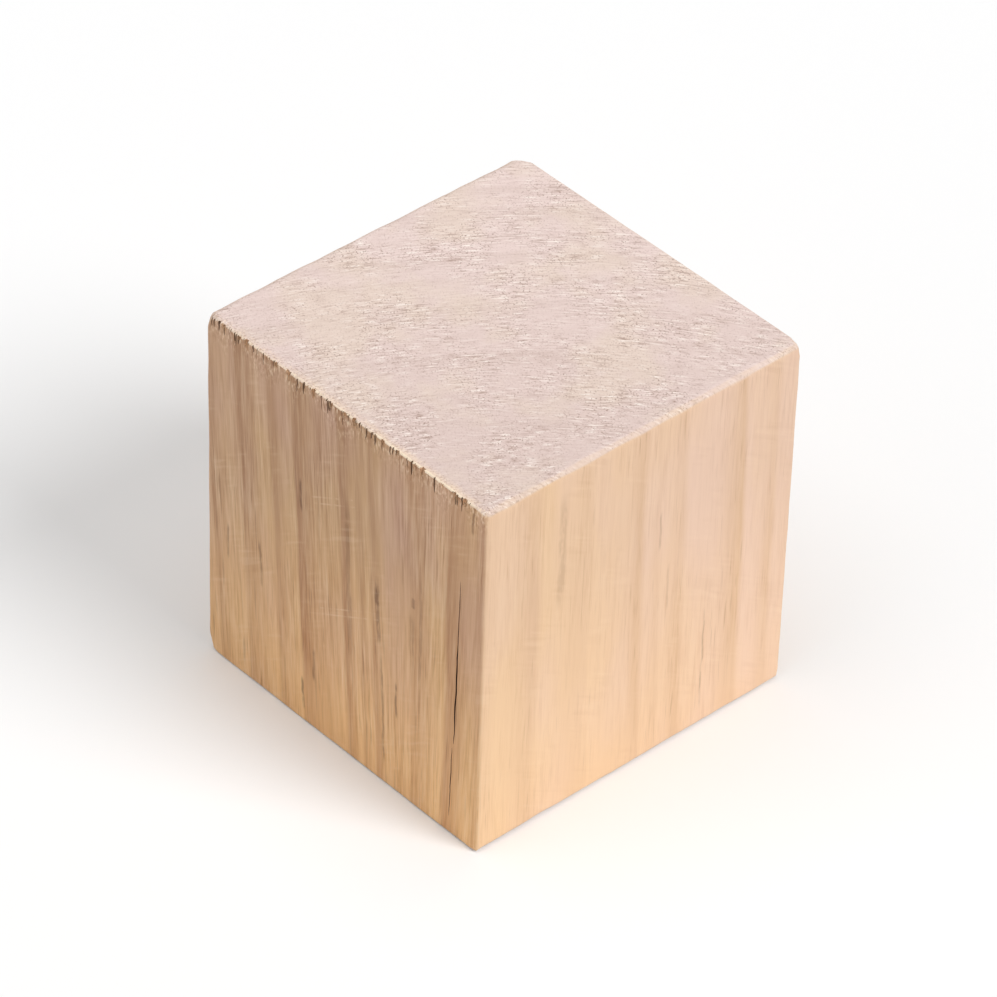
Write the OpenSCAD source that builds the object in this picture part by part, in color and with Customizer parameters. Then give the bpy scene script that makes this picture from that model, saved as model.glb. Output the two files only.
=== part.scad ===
// Softwood block sawn from a square stick: grain up Z, standing on one sawn end.
// The origin is the middle of the end it stands on, and the front face looks along -Y.

/* [Block] */
// Width of the stick, across the grain
stick_width = 49; // [25:0.5:120]
// Depth of the stick, across the grain
stick_depth = 49; // [25:0.5:120]
// Length sawn off the stick, along the grain
cut_length = 51; // [25:0.5:150]

/* [Arrises and corners] */
// Radius of the four arrises that run with the grain
grain_arris_radius = 0.5; // [0.2:0.1:3]
// Radius of the sanded end arrises, on the left and right faces
sanded_arris_radius = 1; // [0.2:0.1:3]
// Radius of the end arrises left as sawn, on the front and back faces
sawn_arris_radius = 0.4; // [0.2:0.1:3]
// Radius that wear has given the eight corners
corner_radius = 1.5; // [1.1:0.1:4]

/* [Tear-out on the top front arris] */
// Average spacing of the nicks that the saw tore out
nick_spacing = 2.3; // [1.5:0.1:8]
// Radius of the gouge that one nick leaves
nick_radius = 0.55; // [0.4:0.05:1.5]
// Depth of the deepest nick, into the front face
nick_depth = 0.5; // [0.25:0.05:1]
// Height of the longest nick, down the front face
nick_height = 2; // [1.2:0.1:6]
// Plain length of arris left at each end of the row of nicks
nick_margin = 2; // [1:0.1:8]

/* [Finish] */
// Colour of the bare wood
wood_colour = "#e6c6a6";

/* [Hidden] */
$fn = 48;

// The straight prisms run past the block by this much, so that only their sides shape it
overrun = 1;

// The rim of each turned form clears the arrises by this much, so that it crosses them only at the corners
rim_clearance = 0.03;

// Nicks share out the arris evenly, and each then sits a little off its even place
nick_run = stick_width - 2 * nick_margin;
nick_count = max(1, floor(nick_run / nick_spacing));
nick_step = nick_run / nick_count;
nick_wander = 0.3 * nick_step;
// The smallest nick has this share of the depth and height of the largest
least_nick = 0.4;
// Angles whose sines jump about from one nick to the next
place_turn = 137.5;
size_turn = 222.5;

// A value from 0 to 1 that is uneven along the row, and the same each time
function uneven(i, turn) = (1 + sin(i * turn)) / 2;

module rounded_rectangle(width, height, radius) {
    inner_width = width - 2 * radius;
    inner_height = height - 2 * radius;
    square([inner_width, height], center = true);
    square([width, inner_height], center = true);
    for (x = [-1, 1], y = [-1, 1])
        translate([x * inner_width / 2, y * inner_height / 2])
            circle(r = radius);
}

// The stick itself, with its arrises eased along the grain
module stick_prism() {
    linear_extrude(height = cut_length + 2 * overrun, center = true)
        rounded_rectangle(stick_width, stick_depth, grain_arris_radius);
}

// The outline seen from the front, which rounds the end arrises of the left and right faces
module front_prism() {
    rotate([90, 0, 0])
        linear_extrude(height = stick_depth + 2 * overrun, center = true)
            rounded_rectangle(stick_width, cut_length, sanded_arris_radius);
}

// The outline seen from the right, which rounds the end arrises of the front and back faces
module side_prism() {
    rotate([90, 0, 90])
        linear_extrude(height = stick_width + 2 * overrun, center = true)
            rounded_rectangle(stick_depth, cut_length, sawn_arris_radius);
}

// Half of a turned profile: flat ends and a straight rim, joined by the corner's curve
module turned_profile(rim, height) {
    translate([0, -height / 2])
        square([rim - corner_radius, height]);
    translate([0, corner_radius - height / 2])
        square([rim, height - 2 * corner_radius]);
    for (side = [-1, 1])
        translate([rim - corner_radius, side * (height / 2 - corner_radius)])
            circle(r = corner_radius);
}

// A turned form about Z, just wide enough to round the corners and leave the arrises between them
module worn_corners(width, depth, height, arris_radius) {
    reach = norm([width / 2 - arris_radius, depth / 2 - arris_radius]) + arris_radius;
    rotate_extrude()
        turned_profile(reach + rim_clearance, height);
}

// The block before the saw tore its arris, centred on the origin
module eased_block() {
    intersection() {
        stick_prism();
        front_prism();
        side_prism();
        worn_corners(stick_width, stick_depth, cut_length, grain_arris_radius);
        rotate([90, 0, 0])
            worn_corners(stick_width, cut_length, stick_depth, sanded_arris_radius);
        rotate([0, 90, 0])
            worn_corners(cut_length, stick_depth, stick_width, sawn_arris_radius);
    }
}

// A gouge that starts in the front face and deepens towards the sawn end above it
module nick(depth, height) {
    lean = atan(depth / height);
    rotate([-lean, 0, 0])
        translate([0, -nick_radius, -nick_radius])
            cylinder(h = nick_radius + 2 * height, r = nick_radius);
}

// The row of nicks along the top front arris
module tear_out() {
    for (i = [0 : nick_count - 1]) {
        size = least_nick + (1 - least_nick) * uneven(i, size_turn);
        wander = nick_wander * (2 * uneven(i, place_turn) - 1);
        place = nick_margin + (i + 0.5) * nick_step + wander;
        height = nick_height * size;
        translate([place - stick_width / 2, -stick_depth / 2, cut_length - height])
            nick(nick_depth * size, height);
    }
}

module wooden_cube() {
    color(wood_colour)
        difference() {
            translate([0, 0, cut_length / 2])
                eased_block();
            tear_out();
        }
}

wooden_cube();
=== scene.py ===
import math
import bpy
from mathutils import Matrix, Vector


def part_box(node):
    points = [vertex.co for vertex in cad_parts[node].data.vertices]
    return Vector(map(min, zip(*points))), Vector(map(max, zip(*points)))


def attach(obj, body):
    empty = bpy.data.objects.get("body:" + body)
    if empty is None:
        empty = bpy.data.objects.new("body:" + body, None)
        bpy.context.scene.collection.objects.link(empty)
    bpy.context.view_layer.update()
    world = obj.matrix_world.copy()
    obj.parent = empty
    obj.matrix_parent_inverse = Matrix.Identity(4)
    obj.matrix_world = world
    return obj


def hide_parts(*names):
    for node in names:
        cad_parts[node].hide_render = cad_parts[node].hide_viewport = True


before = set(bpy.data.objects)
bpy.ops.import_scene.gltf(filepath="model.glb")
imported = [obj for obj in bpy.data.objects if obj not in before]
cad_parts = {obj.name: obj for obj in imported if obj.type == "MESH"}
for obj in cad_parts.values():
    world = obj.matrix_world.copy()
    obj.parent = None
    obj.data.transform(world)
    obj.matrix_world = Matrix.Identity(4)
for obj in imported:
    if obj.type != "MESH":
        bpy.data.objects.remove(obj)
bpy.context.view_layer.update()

# Trees work in millimetres, and the last step of each brings its piece to metres
mm = 0.001
boxLow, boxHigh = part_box("wooden_cube")
blockSize = tuple((boxHigh - boxLow) / mm)
middle = (boxHigh + boxLow) / 2 / mm
turn = math.radians


class Wiring:
    # Adds nodes to one tree, whether it is a material, a group or a Geometry Nodes tree
    def __init__(self, tree):
        self.tree = tree

    def feed(self, socket, value):
        if isinstance(value, bpy.types.NodeSocket):
            self.tree.links.new(value, socket)
        elif value is not None:
            socket.default_value = value

    def add(self, kind, inputs=None, **settings):
        node = self.tree.nodes.new(kind)
        for name, value in settings.items():
            setattr(node, name, value)
        for name, value in (inputs or {}).items():
            self.feed(node.inputs[name], value)
        return node

    def first(self, kind, inputs=None, **settings):
        # The same, for a node of which only the first output is wanted
        return self.add(kind, inputs, **settings).outputs[0]

    def shape(self, kind, shape, inputs=None, **settings):
        # A step of a Geometry Nodes tree that takes a shape and gives the changed one
        return self.first("GeometryNode" + kind, {"Geometry": shape, **(inputs or {})}, **settings)

    def math(self, operation, *values):
        return self.first("ShaderNodeMath", dict(enumerate(values)), operation=operation)

    def chain(self, operation, value, *others):
        # Works from left to right through as many values as it is given
        for other in others:
            value = self.math(operation, value, other)
        return value

    def times(self, *values):
        return self.chain("MULTIPLY", *values)

    def plus(self, *values):
        return self.chain("ADD", *values)

    def minus(self, *values):
        return self.chain("SUBTRACT", *values)

    def over(self, *values):
        return self.chain("DIVIDE", *values)

    def greatest(self, *values):
        return self.chain("MAXIMUM", *values)

    def timesPlus(self, value, factor, more):
        return self.math("MULTIPLY_ADD", value, factor, more)

    def vector(self, operation, *values):
        places = dict(zip((0, 3) if operation == "SCALE" else (0, 1, 2), values))
        gives = "Value" if operation in ("DOT_PRODUCT", "LENGTH") else "Vector"
        return self.add("ShaderNodeVectorMath", places, operation=operation).outputs[gives]

    def split(self, vector):
        return self.add("ShaderNodeSeparateXYZ", {0: vector}).outputs[:]

    def join(self, x, y, z):
        return self.first("ShaderNodeCombineXYZ", {0: x, 1: y, 2: z})

    def remap(self, value, low, high, toLow=0.0, toHigh=1.0, ease="LINEAR"):
        places = {0: value, 1: low, 2: high, 3: toLow, 4: toHigh}
        return self.first("ShaderNodeMapRange", places, interpolation_type=ease)

    def noise(self, point, detail=2.0, roughness=0.5):
        places = {"Vector": point, "Scale": 1.0, "Detail": detail, "Roughness": roughness}
        return self.add("ShaderNodeTexNoise", places).outputs["Fac"]

    def stretched(self, point, sizes, detail=2.0, roughness=0.5, shift=0.0):
        # Noise whose blobs measure about these sizes along the three axes of the point
        scaled = self.vector("DIVIDE", point, sizes)
        return self.noise(self.vector("ADD", scaled, (shift, shift, shift)), detail, roughness)

    def swing(self, point, sizes, **settings):
        # The same noise, centred on 0
        return self.minus(self.stretched(point, sizes, **settings), 0.5)

    def patches(self, point, sizes, low, high, toLow=0.0, toHigh=1.0, **settings):
        # The same noise, with all its contrast between low and high
        return self.remap(self.stretched(point, sizes, **settings), low, high, toLow, toHigh)

    def blend(self, factor, one, two, way="MIX"):
        places = {0: factor, 6: one, 7: two}
        return self.add("ShaderNodeMix", places, data_type="RGBA", blend_type=way).outputs[2]

    def random(self, low, high, seed, salt):
        places = {2: low, 3: high, "Seed": self.plus(seed, float(salt))}
        return self.add("FunctionNodeRandomValue", places, data_type="FLOAT").outputs[1]

    def use(self, group, inputs):
        return self.add("ShaderNodeGroup", inputs, node_tree=group).outputs


# What a tree's input or output starts with decides its kind
aValue, aVector, aShape = 0.0, (0.0, 0.0, 0.0), None
socketKinds = {float: "NodeSocketFloat", int: "NodeSocketInt", tuple: "NodeSocketVector",
               type(None): "NodeSocketGeometry", bpy.types.Material: "NodeSocketMaterial"}


def newTree(name, kind, inputs, outputs):
    tree = bpy.data.node_groups.new(name, kind)
    for label, start in inputs.items():
        socket = tree.interface.new_socket(label, in_out="INPUT", socket_type=socketKinds[type(start)])
        if start is not None:
            socket.default_value = start
    for label, start in outputs.items():
        tree.interface.new_socket(label, in_out="OUTPUT", socket_type=socketKinds[type(start)])
    wiring = Wiring(tree)
    return wiring, wiring.add("NodeGroupInput").outputs, wiring.add("NodeGroupOutput").inputs


def colour(red, green, blue):
    # A display colour in 0 to 255, as the linear colour that shaders take
    def linear(level):
        level /= 255
        return level / 12.92 if level <= 0.04045 else ((level + 0.055) / 1.055) ** 2.4
    return (linear(red), linear(green), linear(blue), 1.0)


# The stick was cut beside the heart of the tree, so its rings pass in wide arcs.
# Distances are millimetres from the heart, and each ring of late wood has
# its dark outer edge, the width over which it darkens, and how dark it becomes.
wood = {
    "heartSide": -37.0,        # degrees round from +X to the side where the heart of the tree was
    "heartDistance": 110.0,    # from the block's middle line to the heart
    "lean": (0.058, -0.022),   # slope of the grain in the left half of the block, and beside its right face
    "leanFrom": (4.0, 21.0),   # places across the block between which that slope changes
    "wander": 0.45,            # how far a ring strays from its arc
    "rings": ((76.4, 1.6, 0.45), (80.6, 2.4, 0.95), (85.9, 2.8, 0.50), (91.9, 1.3, 0.95),
              (94.0, 0.9, 0.45), (96.7, 1.5, 0.85), (104.0, 2.6, 1.00), (108.0, 1.5, 0.65),
              (113.4, 3.4, 0.80), (118.6, 1.8, 0.70), (122.9, 2.0, 0.90), (126.6, 1.4, 0.55),
              (131.8, 2.6, 0.85), (136.0, 1.6, 0.75), (141.5, 2.4, 0.90), (146.0, 1.8, 0.70)),
    "firstRing": 72.0,         # where that table of rings starts
    "lastRing": 150.0,         # and where it ends
    "ringEdge": 0.7,           # width over which late wood gives way to the next spring's growth
}


def straightened(wiring, point):
    # The point with the lean of the grain taken out, so that fibres run straight up
    x, y, z = wiring.split(point)
    lean = wiring.remap(x, *wood["leanFrom"], *wood["lean"], ease="SMOOTHSTEP")
    up = wiring.minus(z, middle.z)
    return wiring.join(wiring.timesPlus(lean, up, x), y, z)


def grainFlow(wiring, point):
    # Distance from the heart, distance round the ring, and height: the wood's own coordinates
    upright = straightened(wiring, point)
    side = turn(wood["heartSide"])
    heart = (wood["heartDistance"] * math.cos(side), wood["heartDistance"] * math.sin(side), 0.0)
    fromHeart = wiring.vector("SUBTRACT", upright, heart)
    away = (-math.cos(side), -math.sin(side), 0.0)
    across = (math.sin(side), -math.cos(side), 0.0)
    out = wiring.vector("DOT_PRODUCT", fromHeart, away)
    aside = wiring.vector("DOT_PRODUCT", fromHeart, across)
    distance = wiring.math("SQRT", wiring.plus(wiring.times(out, out), wiring.times(aside, aside)))
    angle = wiring.math("ARCTAN2", aside, out)
    arc = wiring.times(angle, wood["heartDistance"])
    return wiring.join(distance, arc, wiring.split(point)[2])


def lateWood(wiring, grain):
    # 0 in pale spring growth, rising to 1 at the dark outer edge of a ring
    distance = wiring.split(grain)[0]
    slow = wiring.swing(grain, (60.0, 22.0, 45.0), detail=1.0)
    quick = wiring.swing(grain, (30.0, 5.0, 14.0), shift=7.3)
    stray = wiring.plus(slow, wiring.times(quick, 0.4))
    strayed = wiring.timesPlus(stray, 4 * wood["wander"], distance)
    first, last = wood["firstRing"], wood["lastRing"]
    along = wiring.remap(strayed, first, last)
    curve = wiring.add("ShaderNodeFloatCurve", {"Factor": 1.0, "Value": along})
    points = [(first, 0.1)]
    for edge, width, dark in wood["rings"]:
        points += [(edge - width, 0.22 * dark), (edge - 0.35 * width, 0.75 * dark), (edge, dark),
                   (edge + wood["ringEdge"], 0.04)]
    points.append((last, 0.1))
    line = curve.mapping.curves[0]
    while len(line.points) < len(points):
        line.points.new(0.5, 0.5)
    for spot, (place, height) in zip(line.points, points):
        spot.location = ((place - first) / (last - first), height)
        spot.handle_type = "VECTOR"
    curve.mapping.update()
    # A ring is never equally dark all the way up
    patchy = wiring.patches(grain, (5.0, 26.0, 30.0), 0.36, 0.6, 0.62, 1.0, detail=1.0, shift=4.4)
    return wiring.times(curve.outputs[0], patchy)


blockShape = {
    "grainArris": 0.5,       # radius of the four arrises that run with the grain
    "sandedArris": 1.0,      # radius of the end arrises of the left and right faces
    "sawnArris": 0.4,        # radius of the end arrises of the front and back faces
    "cornerRadius": 1.5,     # radius that wear has given the roundest corner
    "cornerReach": 3.2,      # length of arris over which that radius dies away
    "coreDepth": 3.0,        # how deep under the faces the rays start that points move along
    "easingPasses": 4,       # each brings points nearer to where their rays leave the rounded block
    # Share of the corner radius at each corner: left front, left back, right front, right back
    "topCorners": (0.75, 1.0, 0.55, 0.65),
    "footCorners": (0.5, 0.7, 0.4, 0.5),
    "unevenness": 0.25,      # share by which the radius of an arris varies along it
    "footWear": 0.85,        # depth worn off the bottom left corner of the front face
    "footSide": (-0.74, -0.60, -0.30),    # the way that the worn flat faces
    "pointsAcross": 146,     # points of the fine mesh across the grain
    "pointsAlong": 84,       # points of the fine mesh along the grain
    "fineBand": 2.6,         # strip beside each arris where the mesh is finer
    "fineShare": 0.22,       # share of the points that lie in the strips
    "raisedGrain": 0.045,    # how far late wood stands proud of the spring growth
    "fibreRelief": 0.03,     # depth of the furrows between fibres on the long faces
    "sawRelief": 0.035,      # depth of the saw's marks on the two ends
    "leastPoints": 5000.0,   # what the cut leaves loose with fewer points than this is a chip
    "softBend": 32.0,        # edges that bend by fewer degrees than this are shaded smooth
}

tearing = {
    "spacing": 2.3,          # average distance between nicks
    "radius": 0.55,          # of the gouge that a nick leaves
    "depth": 0.36,           # into the front face, for the deepest nick
    "height": 1.6,           # down the front face, for the longest nick
    "margin": 2.0,           # plain arris left at each end
    "least": 0.4,            # share of the depth and height that the smallest nick has
    "wander": 0.3,           # how far a nick sits off its even place, in steps
    "placeTurn": 137.5,      # angles whose sines jump about from one nick to the next
    "sizeTurn": 222.5,
    "gougeSides": 40,        # points round the wall of a gouge
    "gougeSteps": 9,         # and steps up it
    "raggedness": 0.22,      # how rough the torn wood is inside a gouge
    "splinter": (0.16, 0.16, 1.3),        # size of a splinter there
    "narrowness": (0.5, 1.05),            # least and greatest width of a gouge, as a share of the full one
    "slits": 95,             # splits between the nicks, most of them hairlines
    "slitWidth": 0.17,
    "slitHeight": 1.5,
    "slitDepth": (0.12, 0.34),
    "seed": 11,
    "nickMark": 0.5,         # how dark the finish paints a cut as shade: 0.5 is torn wood in painted shade, and 1 the near-black painted shade of a crack
    "slitMark": 0.82,
    "checkMark": 1.0,
    # Drying checks in the front face: place across it, lowest and highest point, half width, depth
    "checks": ((20.15, 14.0, 30.5, 0.13, 0.55), (20.35, 27.5, 39.0, 0.06, 0.30),
               (19.6, 2.5, 13.5, 0.07, 0.30)),
}


def held(wiring, point, half):
    # The nearest point of a box centred on the origin
    return wiring.vector("MAXIMUM", wiring.vector("MINIMUM", point, half), wiring.vector("SCALE", half, -1.0))


def outOfCore(wiring, point, half):
    # The spot in the block's core beneath a point, and the ray from there out to it. Rays never cross.
    reach = blockShape["coreDepth"]
    core = held(wiring, point, wiring.vector("SUBTRACT", half, (reach, reach, reach)))
    return core, wiring.vector("SUBTRACT", point, core)


def clampToRounded(wiring, point, innerHalf, radius):
    # Brings a point that lies outside a rounded prism in to its surface
    inner = held(wiring, point, innerHalf)
    outward = wiring.vector("SUBTRACT", point, inner)
    length = wiring.greatest(wiring.vector("LENGTH", outward), 1e-6)
    keep = wiring.math("MINIMUM", wiring.over(radius, length), 1.0)
    return wiring.vector("ADD", inner, wiring.vector("SCALE", outward, keep))


def wearFoot(wiring, point, half, depth):
    # A long slanting flat worn on the bottom left corner of the front face
    side = tuple(Vector(blockShape["footSide"]).normalized())
    corner = wiring.vector("DOT_PRODUCT", wiring.vector("SCALE", half, -1.0), [abs(part) for part in side])
    out = wiring.plus(wiring.vector("DOT_PRODUCT", point, side), corner)
    rough = wiring.swing(point, (1.1, 1.1, 1.6), shift=2.2)
    excess = wiring.plus(wiring.timesPlus(rough, 0.35, out), depth)
    worn = wiring.math("SMOOTH_MAX", excess, 0.0, 0.3)
    near = wiring.remap(out, -3.0, -1.6)
    return wiring.vector("SUBTRACT", point, wiring.vector("SCALE", side, wiring.times(worn, near)))


def cornerShare(wiring, point):
    # Which corner a point is nearest to decides how round it is
    shares = blockShape["footCorners"] + blockShape["topCorners"]
    parts = wiring.split(point)
    for part in (parts[1], parts[0], parts[2]):
        far = wiring.math("GREATER_THAN", part, 0.0)
        shares = [wiring.remap(far, 0.0, 1.0, near, away) for near, away in zip(shares[0::2], shares[1::2])]
    return shares[0]


def easedPoint(wiring, cube, inputs):
    # From a point of a cube that reaches from -1 to 1, to the eased block centred on the origin
    half = wiring.vector("SCALE", inputs["Size"], 0.5)
    halves = wiring.split(half)
    band, share = blockShape["fineBand"], blockShape["fineShare"]

    def spread(part, reach):
        # Steps shrink towards the arris inside the fine band
        size = wiring.math("ABSOLUTE", part)
        inner = wiring.minus(reach, band)
        plain = wiring.remap(size, 0.0, 1 - share, 0.0, inner)
        close = wiring.remap(size, 1 - share, 1.0, 1.0, 0.0)
        bandPart = wiring.minus(1.0, wiring.math("POWER", close, 1.5))
        return wiring.times(wiring.timesPlus(bandPart, band, plain), wiring.math("SIGN", part))

    point = wiring.join(*[spread(part, reach) for part, reach in zip(wiring.split(cube), halves)])

    def lessRadius(radius, keeps):
        # Half sizes of a prism's core; along the prism itself the core runs past the block
        return wiring.join(*[wiring.minus(part, radius) if keep else wiring.plus(part, 1.0)
                             for part, keep in zip(halves, keeps)])

    # Arrises vary a little along their length, and widen into the rounder corners
    uneven = wiring.swing(point, (7.0, 7.0, 7.0), shift=5.5)
    varied = wiring.timesPlus(uneven, wiring.times(inputs["Unevenness"], 4.0), 1.0)
    clear = wiring.split(wiring.vector("SUBTRACT", half, wiring.vector("ABSOLUTE", point)))
    growth = wiring.remap(wiring.greatest(*clear), blockShape["cornerReach"], 0.4, ease="SMOOTHSTEP")
    cornerRadius = wiring.times(inputs["Corner Radius"], growth, cornerShare(wiring, point))
    roundings = [(lessRadius(cornerRadius, (1, 1, 1)), cornerRadius)]
    for name, keeps, widens in (("Grain Arris", (1, 1, 0), 1.0), ("Sanded Arris", (1, 0, 1), 0.75),
                                ("Sawn Arris", (0, 1, 1), 0.75)):
        radius = wiring.greatest(wiring.times(inputs[name], varied), wiring.times(cornerRadius, widens))
        roundings.append((lessRadius(radius, keeps), radius))
    # Each pass brings the point nearer to where its ray meets the eased surface
    core, ray = outOfCore(wiring, point, half)
    for _ in range(blockShape["easingPasses"]):
        for innerHalf, radius in roundings:
            point = clampToRounded(wiring, point, innerHalf, radius)
        along = wiring.over(wiring.vector("DOT_PRODUCT", wiring.vector("SUBTRACT", point, core), ray),
                            wiring.vector("DOT_PRODUCT", ray, ray))
        point = wiring.vector("ADD", core, wiring.vector("SCALE", ray, along))
    point = wearFoot(wiring, point, half, inputs["Foot Wear"])
    return wiring.vector("ADD", point, wiring.join(0.0, 0.0, halves[2]))


def surfaceRelief(wiring, point, normal, inputs):
    # Depth in millimetres by which the finished surface lies under the plain one
    grain = grainFlow(wiring, point)
    endFacing = wiring.math("ABSOLUTE", wiring.split(normal)[2])
    longFace = wiring.remap(endFacing, 0.15, 0.6, 1.0, 0.0)
    endFace = wiring.remap(endFacing, 0.6, 0.95)
    spring = wiring.minus(1.0, lateWood(wiring, grain))
    raised = wiring.times(spring, inputs["Raised Grain"])
    furrow = wiring.stretched(grain, (0.9, 0.9, 16.0), shift=3.1)
    furrows = wiring.times(furrow, inputs["Fibre Relief"])
    sawn = wiring.stretched(wiring.vector("ADD", point, (0.0, 0.0, 5.0)), (9.0, 1.3, 30.0))
    swell = wiring.stretched(point, (18.0, 18.0, 18.0), detail=1.0, shift=1.7)
    sawMarks = wiring.times(wiring.plus(sawn, swell), inputs["Saw Relief"])
    longDepth = wiring.times(wiring.plus(raised, furrows), longFace)
    return wiring.timesPlus(sawMarks, endFace, longDepth)


def unevenAlong(wiring, index, degrees):
    # A value from 0 to 1 that is uneven along the row, and the same each time
    wave = wiring.math("SINE", wiring.times(index, turn(degrees)))
    return wiring.timesPlus(wave, 0.5, 0.5)


def nickCount(wiring, inputs):
    run = wiring.minus(wiring.split(inputs["Size"])[0], 2 * tearing["margin"])
    return run, wiring.math("FLOOR", wiring.over(run, inputs["Nick Spacing"]))


def nickPlace(wiring, inputs, index):
    # Where a nick sits along the arris, and how far it reaches down the front face
    run, count = nickCount(wiring, inputs)
    least = tearing["least"]
    size = wiring.timesPlus(unevenAlong(wiring, index, tearing["sizeTurn"]), 1 - least, least)
    sway = wiring.timesPlus(unevenAlong(wiring, index, tearing["placeTurn"]), 2.0, -1.0)
    steps = wiring.timesPlus(sway, tearing["wander"], wiring.plus(index, 0.5))
    start = wiring.timesPlus(wiring.split(inputs["Size"])[0], -0.5, tearing["margin"])
    x = wiring.timesPlus(steps, wiring.over(run, count), start)
    return x, wiring.times(inputs["Nick Height"], size)


def markTorn(wiring, tools, amount):
    # What a tool leaves in the block keeps this value, which the finish reads
    return wiring.shape("StoreNamedAttribute", tools, {"Name": "torn", "Value": amount},
                        data_type="FLOAT", domain="FACE")


def scattered(wiring, points, single, rotation, scale):
    # A copy of one shape on each point, as a plain mesh
    copies = wiring.first("GeometryNodeInstanceOnPoints", {"Points": points, "Instance": single,
                                                           "Rotation": rotation, "Scale": scale})
    return wiring.shape("RealizeInstances", copies)


def remembered(wiring, shape, value, kind):
    # Fixes a value on each point of a shape now, to be read after the shape has moved
    node = wiring.tree.nodes.new("GeometryNodeCaptureAttribute")
    node.capture_items.new(kind, "Kept")
    wiring.feed(node.inputs["Geometry"], shape)
    wiring.feed(node.inputs["Kept"], value)
    return node.outputs["Geometry"], node.outputs["Kept"]


def joinedOneByOne(wiring, tools, count):
    # Crossing tools become one clean solid: each pass adds the next tool to those before it
    start = wiring.tree.nodes.new("GeometryNodeRepeatInput")
    end = wiring.tree.nodes.new("GeometryNodeRepeatOutput")
    start.pair_with_output(end)
    wiring.feed(start.inputs["Iterations"], count)
    island = wiring.add("GeometryNodeInputMeshIsland").outputs["Island Index"]
    other = wiring.first("FunctionNodeCompare", {2: island, 3: start.outputs["Iteration"]},
                         data_type="INT", operation="NOT_EQUAL")
    single = wiring.shape("DeleteGeometry", tools, {"Selection": other}, domain="POINT")
    union = wiring.add("GeometryNodeMeshBoolean", operation="UNION", solver="MANIFOLD")
    for part in (start.outputs["Geometry"], single):
        wiring.feed(union.inputs["Mesh 2"], part)
    wiring.feed(end.inputs["Geometry"], union.outputs["Mesh"])
    return end.outputs["Geometry"]


def nickTools(wiring, inputs):
    # The row of leaning gouges along the top front arris, as solid rods to cut with
    _, depth, height = wiring.split(inputs["Size"])
    x, nickHeight = nickPlace(wiring, inputs, wiring.first("GeometryNodeInputIndex"))
    radius = inputs["Nick Radius"]
    lean = wiring.math("ARCTAN2", inputs["Nick Depth"], inputs["Nick Height"])
    sine, cosine = wiring.math("SINE", lean), wiring.math("COSINE", lean)
    # The rod's foot sits a radius out from the face and a radius down, in the leaning frame
    footY = wiring.times(radius, wiring.plus(cosine, sine))
    footZ = wiring.times(radius, wiring.minus(cosine, sine))
    y = wiring.minus(wiring.times(depth, -0.5), footY)
    z = wiring.minus(height, nickHeight, footZ)
    points = wiring.first("GeometryNodePoints",
                          {"Count": nickCount(wiring, inputs)[1], "Position": wiring.join(x, y, z)})
    rod = wiring.first("GeometryNodeMeshCylinder",
                       {"Vertices": tearing["gougeSides"], "Side Segments": tearing["gougeSteps"],
                        "Radius": radius, "Depth": 1.0})
    rod = wiring.shape("Transform", rod, {"Translation": (0.0, 0.0, 0.5)})
    place = wiring.first("GeometryNodeInputPosition")
    rod, spoke = remembered(wiring, rod, place, "VECTOR")
    narrowed = wiring.random(*tearing["narrowness"], inputs["Seed"], 9)
    points, squeeze = remembered(wiring, points, narrowed, "FLOAT")
    tilt = wiring.first("FunctionNodeAxisAngleToRotation",
                        {"Axis": (1.0, 0.0, 0.0), "Angle": wiring.times(lean, -1.0)})
    length = wiring.timesPlus(nickHeight, 2.0, radius)
    rods = scattered(wiring, points, rod, tilt, wiring.join(1.0, 1.0, length))
    # Splinters run up the wall of a gouge: each point of it moves in or out along its own spoke
    ragged = wiring.swing(place, tearing["splinter"], detail=3.0, roughness=0.6)
    swell = wiring.timesPlus(ragged, 4 * tearing["raggedness"] / tearing["radius"], 1.0)
    swell = wiring.greatest(swell, 0.3)
    spokeX, spokeY, _ = wiring.split(spoke)
    shiftX = wiring.times(spokeX, wiring.timesPlus(swell, squeeze, -1.0))
    shiftY = wiring.times(spokeY, wiring.minus(swell, 1.0))
    shift = wiring.join(shiftX, wiring.times(shiftY, cosine), wiring.times(shiftY, sine, -1.0))
    rods = wiring.shape("SetPosition", rods, {"Offset": shift})
    return markTorn(wiring, rods, tearing["nickMark"])


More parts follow.
